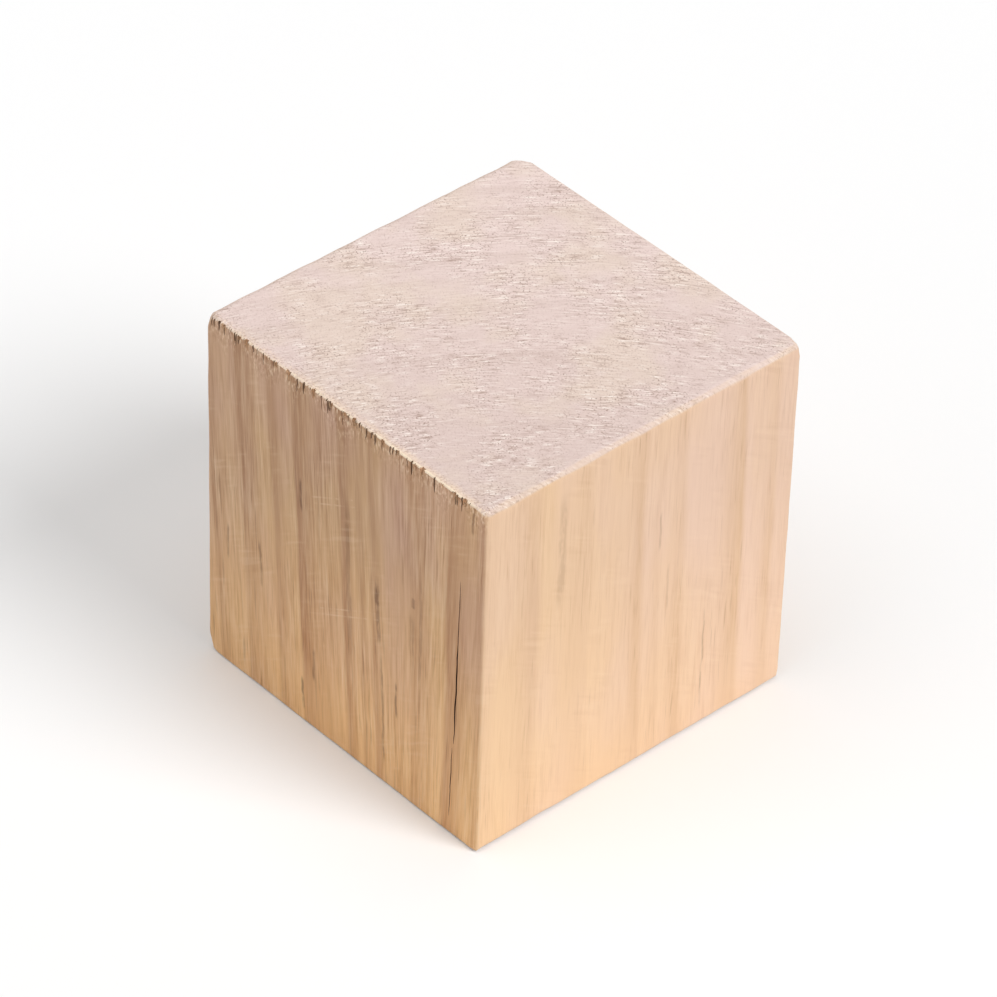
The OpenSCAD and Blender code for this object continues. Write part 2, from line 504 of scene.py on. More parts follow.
def slitTools(wiring, inputs):
    # Hairline splits that run down from the torn arris, between the nicks
    width, depth, height = wiring.split(inputs["Size"])
    seed = inputs["Seed"]
    reach = wiring.timesPlus(width, 0.5, -0.9)
    # They crowd towards the left end of the arris
    share = wiring.math("POWER", wiring.random(0.0, 1.0, seed, 1), 1.5)
    x = wiring.times(wiring.timesPlus(share, 2.0, -1.0), reach)
    span = wiring.math("POWER", wiring.random(0.15, 1.0, seed, 2), 1.6)
    y = wiring.timesPlus(depth, -0.5, -0.02)
    drop = wiring.times(span, tearing["slitHeight"] * 0.5)
    z = wiring.minus(wiring.plus(height, 0.1), drop)
    points = wiring.first("GeometryNodePoints", {"Count": inputs["Slits"], "Position": wiring.join(x, y, z)})
    blade = wiring.first("GeometryNodeMeshUVSphere", {"Segments": 8, "Rings": 9, "Radius": 1.0})
    gape = wiring.math("POWER", wiring.random(0.5, 1.0, seed, 3), 2.5)
    scale = wiring.join(wiring.times(gape, tearing["slitWidth"]),
                        wiring.random(*tearing["slitDepth"], seed, 4),
                        wiring.timesPlus(span, tearing["slitHeight"], 0.15))
    lean = wiring.join(0.0, wiring.random(-0.05, 0.05, seed, 5), 0.0)
    slits = scattered(wiring, points, blade, wiring.first("FunctionNodeEulerToRotation", {0: lean}), scale)
    sway = wiring.swing(wiring.first("GeometryNodeInputPosition"), (3.0, 9.0, 0.4))
    crooked = wiring.join(wiring.times(sway, 2 * tearing["raggedness"]), 0.0, 0.0)
    slits = wiring.shape("SetPosition", slits, {"Offset": crooked})
    return markTorn(wiring, slits, tearing["slitMark"])


def checkTools(wiring, inputs):
    # Thin upright blades that open the drying checks in the front face
    face = wiring.times(wiring.split(inputs["Size"])[1], -0.5)
    rotation = (0.0, -math.atan(wood["lean"][1]), 0.0)
    every = wiring.add("GeometryNodeJoinGeometry")
    for x, low, high, halfWidth, depth in tearing["checks"]:
        blade = wiring.first("GeometryNodeMeshUVSphere", {"Segments": 8, "Rings": 24, "Radius": 1.0})
        place = wiring.first("GeometryNodeInputPosition")
        sway = wiring.swing(wiring.vector("ADD", place, (x, low, 0.0)), (9.0, 9.0, 0.35))
        crooked = wiring.join(wiring.times(sway, 3.0), 0.0, 0.0)
        blade = wiring.shape("SetPosition", blade, {"Offset": crooked})
        blade = wiring.shape("Transform", blade, {
            "Translation": wiring.join(x, face, (low + high) / 2), "Rotation": rotation,
            "Scale": (halfWidth, depth, (high - low) / 2)})
        wiring.feed(every.inputs[0], blade)
    return markTorn(wiring, every.outputs[0], tearing["checkMark"])


def finishTree(wiring, mesh, inputs, outputs):
    # Brings a mesh from millimetres to metres, as one plain mesh with its finish
    mesh = wiring.shape("Transform", mesh, {"Scale": (mm, mm, mm)})
    mesh = wiring.shape("RealizeInstances", mesh)
    mesh = wiring.shape("SetMaterial", mesh, {"Material": inputs["Finish"]})
    wiring.feed(outputs["Geometry"], mesh)
    return wiring.tree


def blockTree(values):
    wiring, inputs, outputs = newTree("Sawn block", "GeometryNodeTree", values, {"Geometry": aShape})
    across, along = inputs["Points Across"], inputs["Points Along"]
    block = wiring.first("GeometryNodeMeshCube", {"Size": (2.0, 2.0, 2.0), "Vertices X": across,
                                                  "Vertices Y": across, "Vertices Z": along})
    place = wiring.first("GeometryNodeInputPosition")
    block = wiring.shape("SetPosition", block, {"Position": easedPoint(wiring, place, inputs)})
    normal = wiring.first("GeometryNodeInputNormal")
    depth = surfaceRelief(wiring, place, normal, inputs)
    half = wiring.vector("SCALE", inputs["Size"], 0.5)
    centred = wiring.vector("SUBTRACT", place, wiring.join(0.0, 0.0, wiring.split(half)[2]))
    outward = wiring.vector("NORMALIZE", outOfCore(wiring, centred, half)[1])
    sunk = wiring.vector("SCALE", outward, wiring.times(depth, -1.0))
    block = wiring.shape("SetPosition", block, {"Offset": sunk})
    tools = wiring.add("GeometryNodeJoinGeometry")
    for kind in (checkTools, nickTools, slitTools):
        wiring.feed(tools.inputs[0], kind(wiring, inputs))
    count = wiring.plus(inputs["Slits"], nickCount(wiring, inputs)[1], float(len(tearing["checks"])))
    cut = wiring.add("GeometryNodeMeshBoolean", {"Mesh 1": block}, operation="DIFFERENCE", solver="MANIFOLD")
    wiring.feed(cut.inputs["Mesh 2"], joinedOneByOne(wiring, tools.outputs[0], count))
    # Chips that the gouges cut loose fall away
    island = wiring.add("GeometryNodeInputMeshIsland").outputs["Island Index"]
    points = wiring.add("GeometryNodeAccumulateField", {"Value": 1.0, "Group ID": island},
                        data_type="FLOAT", domain="POINT").outputs["Total"]
    chip = wiring.first("FunctionNodeCompare", {0: points, 1: blockShape["leastPoints"]},
                        operation="LESS_THAN")
    block = wiring.shape("DeleteGeometry", cut.outputs["Mesh"], {"Selection": chip}, domain="POINT")
    bend = wiring.add("GeometryNodeInputMeshEdgeAngle").outputs["Unsigned Angle"]
    soft = wiring.first("FunctionNodeCompare", {0: bend, 1: turn(blockShape["softBend"])},
                        operation="LESS_THAN")
    block = wiring.shape("SetShadeSmooth", block, domain="FACE")
    block = wiring.shape("SetShadeSmooth", block, {"Shade Smooth": soft}, domain="EDGE")
    return finishTree(wiring, block, inputs, outputs)


fibreShape = {
    "perNick": 14,           # torn fibres left standing in each gouge
    "length": 1.7,           # of the longest
    "thickness": 0.035,      # share of a fibre's length that its radius is
    "curl": 0.16,            # share of its length by which the tip bends out of the gouge
    "seed": 5,
    # Least and greatest lean in radians, out of the gouge and then along the arris
    "tilt": ((-0.16, 0.12), (-0.22, 0.22)),
}


def fibreTree(values):
    wiring, inputs, outputs = newTree("Torn fibres", "GeometryNodeTree", values, {"Geometry": aShape})
    _, depth, height = wiring.split(inputs["Size"])
    seed = inputs["Seed"]
    index = wiring.first("GeometryNodeInputIndex")
    nick = wiring.math("FLOOR", wiring.over(wiring.plus(index, 0.5), inputs["Per Nick"]))
    nickX, nickHeight = nickPlace(wiring, inputs, nick)
    aside = wiring.times(wiring.random(-0.8, 0.8, seed, 1), inputs["Nick Radius"])
    climb = wiring.times(wiring.random(0.0, 0.55, seed, 2), nickHeight)
    lean = wiring.over(inputs["Nick Depth"], inputs["Nick Height"])
    # The wall of the gouge at this height, a little shallower towards its sides
    floorDepth = wiring.times(climb, lean)
    shallow = wiring.times(aside, aside, wiring.over(0.5, inputs["Nick Radius"]))
    wall = wiring.greatest(wiring.minus(floorDepth, shallow), 0.0)
    y = wiring.plus(wiring.timesPlus(depth, -0.5, 0.05), wall)
    z = wiring.plus(wiring.minus(height, nickHeight), climb)
    count = wiring.times(nickCount(wiring, inputs)[1], inputs["Per Nick"])
    points = wiring.first("GeometryNodePoints",
                          {"Count": count, "Position": wiring.join(wiring.plus(nickX, aside), y, z)})
    # One fibre, a unit long: a line that bends over and thins to its tip
    line = wiring.first("GeometryNodeCurvePrimitiveLine", {"Start": (0.0, 0.0, 0.0), "End": (0.0, 0.0, 1.0)})
    line = wiring.first("GeometryNodeResampleCurve", {"Curve": line, "Count": 6})
    along = wiring.add("GeometryNodeSplineParameter").outputs["Factor"]
    bend = wiring.times(wiring.math("POWER", along, 2.0), inputs["Curl"])
    line = wiring.shape("SetPosition", line, {"Offset": wiring.join(0.0, wiring.times(bend, -1.0), 0.0)})
    thin = wiring.timesPlus(wiring.math("POWER", wiring.minus(1.0, along), 0.6), 0.9, 0.1)
    ring = wiring.first("GeometryNodeCurvePrimitiveCircle", {"Resolution": 5, "Radius": inputs["Thickness"]})
    fibre = wiring.first("GeometryNodeCurveToMesh",
                         {"Curve": line, "Profile Curve": ring, "Scale": thin, "Fill Caps": True})
    outTilt, sideTilt = fibreShape["tilt"]
    tilt = wiring.join(wiring.random(*outTilt, seed, 3), wiring.random(*sideTilt, seed, 4), 0.0)
    span = wiring.times(wiring.math("POWER", wiring.random(0.3, 1.0, seed, 5), 1.4), inputs["Length"])
    # No tip reaches past the sawn end, and none past the plane of the front face
    span = wiring.math("MINIMUM", span, wiring.minus(nickHeight, climb, 0.06))
    scale = wiring.join(wiring.times(span, wiring.random(0.5, 1.3, seed, 6)), wiring.times(span, 0.8), span)
    fibres = scattered(wiring, points, fibre, wiring.first("FunctionNodeEulerToRotation", {0: tilt}), scale)
    x, y, z = wiring.split(wiring.first("GeometryNodeInputPosition"))
    inside = wiring.math("SMOOTH_MAX", y, wiring.timesPlus(depth, -0.5, 0.015), 0.12)
    fibres = wiring.shape("SetPosition", fibres, {"Position": wiring.join(x, inside, z)})
    fibres = wiring.shape("SetShadeSmooth", fibres, domain="FACE")
    return finishTree(wiring, fibres, inputs, outputs)


def inScene(name, data):
    piece = bpy.data.objects.new(name, data)
    bpy.context.scene.collection.objects.link(piece)
    return piece


def grow(name, makeTree, values):
    # Runs a tree on an empty mesh and keeps what it makes as a plain mesh
    tree = makeTree({"Geometry": aShape, **values})
    holder = inScene(name + "Maker", bpy.data.meshes.new(name + "Maker"))
    modifier = holder.modifiers.new("Maker", "NODES")
    modifier.node_group = tree
    for item in tree.interface.items_tree:
        if item.item_type == "SOCKET" and item.in_out == "INPUT" and item.name in values:
            modifier[item.identifier] = values[item.name]
    bpy.context.view_layer.update()
    evaluated = holder.evaluated_get(bpy.context.evaluated_depsgraph_get())
    mesh = bpy.data.meshes.new_from_object(evaluated)
    holder.modifiers.remove(modifier)
    bpy.data.objects.remove(holder)
    mesh.name = name
    # The cut leaves an empty slot behind, so the finish gets the only one
    mesh.materials.clear()
    mesh.materials.append(values["Finish"])
    mesh.polygons.foreach_set("material_index", [0] * len(mesh.polygons))
    mesh.calc_loop_triangles()
    print(f"{name}: {len(mesh.vertices)} points, {len(mesh.loop_triangles)} triangles")
    return inScene(name, mesh)


def ringGroup():
    # Growth rings, and the wood's own coordinates that everything else follows
    wiring, inputs, outputs = newTree("Growth rings", "ShaderNodeTree", {"Point": aVector},
                                      {"Grain": aVector, "Late Wood": aValue, "Drift": aValue})
    grain = grainFlow(wiring, inputs["Point"])
    wiring.feed(outputs["Grain"], grain)
    wiring.feed(outputs["Late Wood"], lateWood(wiring, grain))
    wiring.feed(outputs["Drift"], wiring.patches(grain, (4.5, 14.0, 70.0), 0.32, 0.68, shift=9.1))
    return wiring.tree


def fibreGroup():
    # Fine fibres that run with the grain: their tone, and thin dark dashes among them
    wiring, inputs, outputs = newTree(
        "Wood fibres", "ShaderNodeTree", {"Grain": aVector, "Width": 0.4, "Length": 12.0, "Shift": 0.0},
        {"Tone": aValue, "Dark": aValue})
    width, length = inputs["Width"], inputs["Length"]
    moved = wiring.vector("ADD", inputs["Grain"], wiring.join(inputs["Shift"], 0.0, inputs["Shift"]))
    broad = wiring.stretched(moved, wiring.join(width, width, length), detail=3.0, roughness=0.6)
    thin = wiring.times(width, 0.7)
    short = wiring.times(length, 0.7)
    dashes = wiring.stretched(moved, wiring.join(thin, thin, short), detail=1.0, shift=5.7)
    wiring.feed(outputs["Tone"], broad)
    wiring.feed(outputs["Dark"], wiring.remap(dashes, 0.63, 0.74))
    return wiring.tree


def cutEndGroup():
    # Cut ends of the fibres: short strokes along the rings, and open pores
    wiring, inputs, outputs = newTree(
        "Cut fibre ends", "ShaderNodeTree", {"Grain": aVector, "Point": aVector, "Stroke": 2.2},
        {"Dark": aValue, "Pale": aValue, "Pores": aValue, "Fuzz": aValue})
    size = wiring.join(0.26, inputs["Stroke"], 400.0)
    strokes = wiring.stretched(inputs["Grain"], size, roughness=0.65, shift=2.9)
    wiring.feed(outputs["Dark"], wiring.remap(strokes, 0.54, 0.74))
    wiring.feed(outputs["Pale"], wiring.remap(strokes, 0.46, 0.28))
    pores = wiring.patches(inputs["Point"], (0.24, 0.24, 3.0), 0.56, 0.74, detail=1.0, shift=8.2)
    wiring.feed(outputs["Pores"], pores)
    fuzz = wiring.stretched(inputs["Point"], (0.5, 0.5, 0.5), detail=4.0, roughness=0.7, shift=1.1)
    wiring.feed(outputs["Fuzz"], fuzz)
    return wiring.tree


def resinLineGroup():
    # One thin dark line of resin that follows the grain up a face
    wiring, inputs, outputs = newTree(
        "Resin line", "ShaderNodeTree",
        {"Point": aVector, "Place": 0.0, "Low": 0.0, "High": 10.0, "Half Width": 0.2}, {"Line": aValue})
    x, _, z = wiring.split(inputs["Point"])
    wave = wiring.swing(wiring.join(inputs["Place"], 0.0, z), (1.0, 1.0, 5.0))
    sway = wiring.timesPlus(wave, 0.9, wiring.minus(x, inputs["Place"]))
    beside = wiring.over(wiring.math("ABSOLUTE", sway), inputs["Half Width"])
    core = wiring.remap(beside, 0.35, 1.0, 1.0, 0.0, ease="SMOOTHSTEP")
    span = wiring.minus(inputs["High"], inputs["Low"])
    climb = wiring.over(wiring.minus(z, inputs["Low"]), span)
    fromMiddle = wiring.math("ABSOLUTE", wiring.minus(climb, 0.5))
    along = wiring.remap(fromMiddle, 0.5, 0.28, ease="SMOOTHSTEP")
    broken = wiring.patches(inputs["Point"], (0.5, 30.0, 2.2), 0.34, 0.52, 0.35, 1.0, shift=3.7)
    wiring.feed(outputs["Line"], wiring.times(core, along, broken))
    return wiring.tree


def scratchGroup():
    # A straight scratch between two points of a face
    wiring, inputs, outputs = newTree(
        "Scratch", "ShaderNodeTree", {"Point": aVector, "Start": aVector, "End": aVector, "Half Width": 0.2},
        {"Scratch": aValue})
    flat = wiring.vector("MULTIPLY", inputs["Point"], (1.0, 0.0, 1.0))
    fromStart = wiring.vector("SUBTRACT", flat, inputs["Start"])
    course = wiring.vector("SUBTRACT", inputs["End"], inputs["Start"])
    share = wiring.over(wiring.vector("DOT_PRODUCT", fromStart, course),
                        wiring.vector("DOT_PRODUCT", course, course))
    share = wiring.math("MINIMUM", wiring.greatest(share, 0.0), 1.0)
    away = wiring.vector("SUBTRACT", fromStart, wiring.vector("SCALE", course, share))
    beside = wiring.over(wiring.vector("LENGTH", away), inputs["Half Width"])
    fade = wiring.patches(flat, (1.3, 1.0, 1.3), 0.38, 0.62, 0.05, 1.0, shift=6.6)
    wiring.feed(outputs["Scratch"], wiring.times(wiring.remap(beside, 0.3, 1.0, 1.0, 0.0), fade))
    return wiring.tree


def sandingGroup():
    # Faint slanting arcs that the sander left across a long face
    wiring, inputs, outputs = newTree(
        "Sanding marks", "ShaderNodeTree", {"Point": aVector, "Slope": 0.61, "Spacing": 0.75, "Length": 7.0},
        {"Dark": aValue, "Pale": aValue})
    x, y, z = wiring.split(inputs["Point"])
    across = wiring.minus(x, y)
    sine, cosine = wiring.math("SINE", inputs["Slope"]), wiring.math("COSINE", inputs["Slope"])
    along = wiring.plus(wiring.times(across, cosine), wiring.times(z, sine))
    beside = wiring.minus(wiring.times(z, cosine), wiring.times(across, sine))
    bowed = wiring.timesPlus(wiring.times(along, along), 0.001, beside)
    marks = wiring.noise(wiring.join(wiring.over(along, inputs["Length"]),
                                     wiring.over(bowed, inputs["Spacing"]), 0.0), detail=1.0)
    patches = wiring.patches(inputs["Point"], (6.0, 6.0, 6.0), 0.5, 0.66, detail=3.0, shift=5.2)
    wiring.feed(outputs["Dark"], wiring.times(wiring.remap(marks, 0.48, 0.34), patches))
    wiring.feed(outputs["Pale"], wiring.times(wiring.remap(marks, 0.54, 0.66), patches))
    return wiring.tree


def arrisGroup():
    # Where the surface turns from one face to the next, and handling has rubbed it
    wiring, inputs, outputs = newTree("Arris wear", "ShaderNodeTree", {"Normal": aVector, "Point": aVector},
                                      {"Worn": aValue})
    flattest = wiring.greatest(*[wiring.math("ABSOLUTE", part) for part in wiring.split(inputs["Normal"])])
    turning = wiring.remap(flattest, 0.992, 0.90, ease="SMOOTHSTEP")
    patchy = wiring.patches(inputs["Point"], (1.6, 1.6, 1.6), 0.3, 0.6, 0.45, 1.0, detail=3.0, shift=4.9)
    wiring.feed(outputs["Worn"], wiring.times(turning, patchy))
    return wiring.tree


pineLooks = {
    "planed": colour(245, 206, 162),      # pale spring growth on the planed left and right faces
    "planedLate": colour(231, 191, 152),  # dark edge of a ring there
    "planedPink": colour(245, 209, 181),
    "sawn": colour(250, 202, 143),        # the same on the sawn front and back
    "sawnLate": colour(207, 153, 104),
    "sawnPink": colour(238, 190, 153),
    "end": colour(234, 213, 207),         # cut ends of the fibres
    "endLate": colour(215, 193, 185),
    "endWarm": colour(227, 208, 190),
    "paintedBounce": colour(217, 221, 238),        # painted reflected light: tint that greys the long faces towards the top end, so that their lower part stays warm as if lit by light bounced up from below
    "fibreDark": colour(206, 184, 156),   # tints of darker and paler fibres
    "fibrePale": colour(252, 226, 194),
    "canal": colour(150, 104, 66),        # resin canals, as thin dark dashes
    "resin": colour(104, 66, 38),
    "endDark": colour(172, 146, 134),
    "endPale": colour(252, 241, 232),
    # torn wood inside the nicks, painted darker as its shade, and the near-black painted shade inside splits
    # and cracks
    "tornWoodInShade": colour(212, 170, 134),
    "tornWoodInDeeperShade": colour(156, 118, 88),
    "crackShade": colour(52, 32, 20),
    "worn": colour(226, 196, 160),
    "crushedAndHighlight": colour(244, 217, 186),     # pale strip of crushed fibres behind the torn arris, partly painted highlight
    "paintedHighlight": colour(255, 240, 216),      # painted highlight: bright line along the sharp top arris of the front face
    # How strongly each shows, where it shows most
    "coarseFibres": 0.40,
    "fineFibres": 0.33,
    "sandedDark": 0.08,
    "sandedPale": 0.10,
    "endStrokes": 0.8,
    "endPores": 0.75,
    "darkFlecks": 0.8,
    "paleFlecks": 0.7,
    "wear": 0.32,
    "crushedAndHighlightAmount": 0.45,
    "shadeUnder": 0.06,                   # painted shadow: faint dark line just under the torn arris
    "gloss": 0.28,
    # Lines of resin up the front and right faces: place across, lowest and highest point,
    # half width, strength
    "frontLines": ((6.3, 20.0, 31.0, 0.45, 0.50), (6.3, 26.0, 29.0, 0.55, 0.45),
                   (-6.9, 31.5, 37.0, 0.30, 0.60), (12.5, 29.6, 31.4, 0.40, 0.55),
                   (9.4, 11.0, 17.0, 0.28, 0.60), (-15.0, 15.5, 23.0, 0.30, 0.50),
                   (-21.0, 16.0, 22.0, 0.26, 0.45), (-5.7, 7.0, 12.5, 0.30, 0.50),
                   (-8.1, 1.5, 7.0, 0.30, 0.60), (21.8, 46.5, 50.5, 0.28, 0.60),
                   (6.8, 2.0, 20.0, 0.30, 0.40), (13.8, 18.0, 36.0, 0.35, 0.28),
                   (1.3, 14.0, 41.0, 0.55, 0.30), (12.4, 22.0, 29.0, 0.60, 0.22)),
    "rightLines": ((11.0, 2.0, 19.0, 0.20, 0.34), (3.0, 31.0, 37.5, 0.24, 0.22),
                   (4.6, 21.0, 29.0, 0.24, 0.14), (-12.6, 30.0, 49.0, 0.80, 0.20)),
    "scratchStrength": 0.22,
    # Scratches across the front face: start and end, each as place across it and height
    "scratches": (((-3.8, 19.4), (6.0, 24.9)), ((-3.4, 18.7), (6.4, 24.1)),
                  ((-5.4, 35.2), (1.6, 39.0)), ((-5.0, 34.5), (2.0, 38.2))),
}


def fresh(name):
    # A new material, its wiring and its shader
    material = bpy.data.materials.new(name)
    material.use_nodes = True
    return material, Wiring(material.node_tree), material.node_tree.nodes["Principled BSDF"]


def pineMaterial(groups):
    material, wiring, shader = fresh("sawnPine")
    looks = pineLooks
    place = wiring.add("ShaderNodeTexCoord").outputs
    point = wiring.vector("SCALE", place["Object"], 1 / mm)
    x, y, z = wiring.split(point)
    sides = [wiring.math("ABSOLUTE", part) for part in wiring.split(place["Normal"])]
    endFace = wiring.remap(sides[2], 0.22, 0.62, ease="SMOOTHSTEP")
    sawnFace = wiring.remap(sides[1], 0.4, 0.8)
    frontFace = wiring.times(sawnFace, wiring.math("LESS_THAN", y, 0.0))
    rings = wiring.use(groups["rings"], {"Point": point})
    grain, late, drift = rings["Grain"], rings["Late Wood"], rings["Drift"]

    # Long faces: rings, slow drift of tone, then fibres and resin canals
    pink = wiring.patches(grain, (8.0, 16.0, 30.0), 0.4, 0.62, shift=1.4)
    backward = wiring.remap(y, -26.0, 24.0, -0.25, 0.85)
    planed = wiring.blend(wiring.timesPlus(pink, 0.5, backward), looks["planed"], looks["planedPink"])
    planed = wiring.blend(wiring.timesPlus(drift, 0.12, late), planed, looks["planedLate"])
    mauve = wiring.times(pink, wiring.remap(z, 6.0, 30.0))
    sawn = wiring.blend(mauve, looks["sawn"], looks["sawnPink"])
    sawn = wiring.blend(wiring.timesPlus(drift, 0.3, late), sawn, looks["sawnLate"])
    long = wiring.blend(sawnFace, planed, sawn)
    # Painted reflected light: the grey tint towards the top end reaches further down on the left, and is
    # weaker on the right, so that the lower faces stay warm as if lit from below
    paintedBounce = wiring.remap(wiring.plus(z, wiring.remap(x, -4.0, -20.0, 0.0, 9.0)), 0.0, 36.0)
    paintedBounce = wiring.times(paintedBounce, wiring.remap(x, 6.0, 20.0, 1.0, 0.75))
    paintedBounceShare = wiring.times(paintedBounce, wiring.remap(sawnFace, 0.0, 1.0, 0.6, 1.0))
    long = wiring.blend(paintedBounceShare, long, looks["paintedBounce"], way="MULTIPLY")
    coarse = wiring.use(groups["fibres"], {"Grain": grain, "Width": 0.5, "Length": 10.0})
    fine = wiring.use(groups["fibres"], {"Grain": grain, "Width": 0.17, "Length": 6.0, "Shift": 3.0})
    rough = wiring.remap(sawnFace, 0.0, 1.0, 0.36, 1.0)    # a planed face shows its fibres less
    rough = wiring.times(rough, wiring.patches(grain, (9.0, 9.0, 15.0), 0.36, 0.62, 0.45, 1.35, shift=2.3))
    for streaks, strength in ((coarse, looks["coarseFibres"]), (fine, looks["fineFibres"])):
        dark = wiring.times(wiring.remap(streaks["Tone"], 0.5, 0.3), strength)
        pale = wiring.times(wiring.remap(streaks["Tone"], 0.5, 0.72), 0.5 * strength)
        long = wiring.blend(wiring.times(dark, rough), long, looks["fibreDark"], way="MULTIPLY")
        long = wiring.blend(wiring.times(pale, rough), long, looks["fibrePale"])
    canals = wiring.times(coarse["Dark"], wiring.timesPlus(late, 0.5, 0.25))
    long = wiring.blend(wiring.times(canals, rough), long, looks["canal"])
    upright = straightened(wiring, point)
    rightFace = wiring.times(wiring.remap(sides[0], 0.6, 0.9), wiring.math("GREATER_THAN", x, 0.0))
    for lines, spot, face in ((looks["frontLines"], upright, frontFace),
                              (looks["rightLines"], wiring.join(y, x, z), rightFace)):
        for across, low, high, halfWidth, strength in lines:
            line = wiring.use(groups["resinLine"], {"Point": spot, "Place": across, "Low": low, "High": high,
                                                    "Half Width": halfWidth})["Line"]
            long = wiring.blend(wiring.times(line, strength, face), long, looks["resin"])
    for (startX, startZ), (endX, endZ) in looks["scratches"]:
        scratch = wiring.use(groups["scratch"], {"Point": point, "Start": (startX, 0.0, startZ),
                                                 "End": (endX, 0.0, endZ), "Half Width": 0.15})["Scratch"]
        shown = wiring.times(scratch, looks["scratchStrength"], frontFace)
        long = wiring.blend(shown, long, looks["fibrePale"])
    sanding = wiring.use(groups["sanding"], {"Point": point})
    darker = wiring.times(sanding["Dark"], looks["sandedDark"])
    long = wiring.blend(darker, long, looks["fibreDark"], way="MULTIPLY")
    long = wiring.blend(wiring.times(sanding["Pale"], looks["sandedPale"]), long, looks["fibrePale"])

    # Cut ends: faint rings, short strokes along them, pores
    ends = wiring.use(groups["cutEnds"], {"Grain": grain, "Point": point})
    end = wiring.blend(wiring.timesPlus(late, 0.75, wiring.times(drift, 0.2)), looks["end"], looks["endLate"])
    # The cut ends darken towards their right front corner
    towardsRightFront = wiring.remap(wiring.minus(x, y), -30.0, 46.0)
    end = wiring.blend(wiring.times(towardsRightFront, 0.85), end, looks["endLate"])
    warm = wiring.patches(point, (9.0, 9.0, 16.0), 0.46, 0.62, detail=3.0, shift=3.3)
    end = wiring.blend(wiring.times(warm, 0.5), end, looks["endWarm"])
    rougher = wiring.patches(point, (7.0, 7.0, 16.0), 0.38, 0.62, 0.3, 1.45, shift=7.7)
    for mask, strength, tint in (("Dark", "endStrokes", "endDark"), ("Pale", "endStrokes", "endPale"),
                                 ("Pores", "endPores", "endDark")):
        shown = wiring.times(ends[mask], looks[strength], rougher)
        end = wiring.blend(shown, end, looks[tint])
    base = wiring.blend(endFace, long, end)

    # Fuzz that the saw left beside the torn arris, on both its sides, as flecks of painted shadow and painted
    # highlight among its raised fibres
    reach = wiring.patches(point, (5.0, 1.0, 30.0), 0.35, 0.65, 1.5, 5.5, shift=2.6)
    below = wiring.remap(wiring.over(wiring.minus(boxHigh.z / mm, z), reach), 1.0, 0.0)
    below = wiring.times(below, frontFace)
    behind = wiring.times(wiring.remap(y, -23.0, -24.4), endFace)
    near = wiring.times(wiring.greatest(below, behind), wiring.math("GREATER_THAN", z, middle.z))
    fleck = wiring.stretched(point, (0.28, 0.28, 0.75), shift=6.1)
    darkFleck = wiring.times(wiring.remap(fleck, 0.55, 0.66), near, looks["darkFlecks"])
    paleFleck = wiring.times(wiring.remap(fleck, 0.45, 0.34), near, looks["paleFlecks"])
    base = wiring.blend(darkFleck, base, looks["canal"])
    base = wiring.blend(paleFleck, base, looks["fibrePale"])

    # Worn arrises are rubbed paler
    worn = wiring.use(groups["arris"], {"Normal": place["Normal"], "Point": point})["Worn"]
    base = wiring.blend(wiring.times(worn, looks["wear"]), base, looks["worn"])

    # The torn arris: a painted highlight on its ridge, a pale strip of crushed fibres behind it that is
    # partly painted highlight, and a faint painted shadow under it
    _, outY, outZ = wiring.split(place["Normal"])
    between = wiring.times(outY, -1.0, outZ)
    paintedLightPatches = wiring.patches(point, (2.2, 1.0, 1.0), 0.38, 0.6, 0.3, 1.0, detail=3.0, shift=8.8)
    paintedLightPatches = wiring.times(paintedLightPatches, wiring.remap(wiring.math("ABSOLUTE", x), 23.4, 21.5))
    paintedLightPatches = wiring.times(paintedLightPatches, wiring.remap(x, -16.0, 8.0, 0.4, 1.0))
    paintedHighlight = wiring.times(wiring.remap(between, 0.12, 0.42, ease="SMOOTHSTEP"), paintedLightPatches)
    base = wiring.blend(paintedHighlight, base, looks["paintedHighlight"])
    crushedAndHighlight = wiring.times(endFace, paintedLightPatches, wiring.remap(y, -23.2, -24.0))
    base = wiring.blend(wiring.times(crushedAndHighlight, looks["crushedAndHighlightAmount"]), base, looks["crushedAndHighlight"])
    under = wiring.times(frontFace, paintedLightPatches, wiring.remap(z, 49.3, 50.4))
    base = wiring.blend(wiring.times(under, looks["shadeUnder"]), base, looks["canal"])

    # Inside the cuts: painted shade over splinters where the wood tore, and near-black painted shade in
    # splits and cracks
    torn = wiring.add("ShaderNodeAttribute", attribute_name="torn").outputs["Fac"]
    splinter = wiring.blend(wiring.remap(fine["Tone"], 0.35, 0.6), looks["tornWoodInDeeperShade"], looks["tornWoodInShade"])
    base = wiring.blend(wiring.remap(torn, 0.0, 0.5, 0.0, 0.9), base, splinter)
    base = wiring.blend(wiring.remap(torn, 0.5, 1.0, 0.0, 0.92), base, looks["crackShade"])
    wiring.feed(shader.inputs["Base Color"], base)

    # Fibres catch the light as fine furrows, cut ends as pits
    furrows = wiring.timesPlus(fine["Tone"], 0.4, wiring.times(coarse["Tone"], 0.6))
    furrows = wiring.times(rough, 0.1, furrows)
    pits = wiring.timesPlus(ends["Pores"], -0.03, wiring.times(ends["Fuzz"], 0.08))
    height = wiring.first("ShaderNodeMix", {0: endFace, 2: furrows, 3: pits}, data_type="FLOAT")
    bump = wiring.add("ShaderNodeBump", {"Strength": 1.0, "Distance": mm, "Height": height})
    wiring.feed(shader.inputs["Normal"], bump.outputs[0])
    sheen = wiring.timesPlus(coarse["Tone"], 0.16, 0.5)
    dull = wiring.timesPlus(endFace, 0.16, wiring.timesPlus(late, -0.08, sheen))
    wiring.feed(shader.inputs["Roughness"], dull)
    shader.inputs["Specular IOR Level"].default_value = looks["gloss"]
    return material


fibreLooks = {
    "pale": colour(228, 190, 150),
    "late": colour(196, 146, 102),        # in late wood
    "dark": colour(130, 88, 56),          # dark streaks along a fibre
    "streaks": 0.7,                       # how strongly they show
    "gloss": 0.28,
}


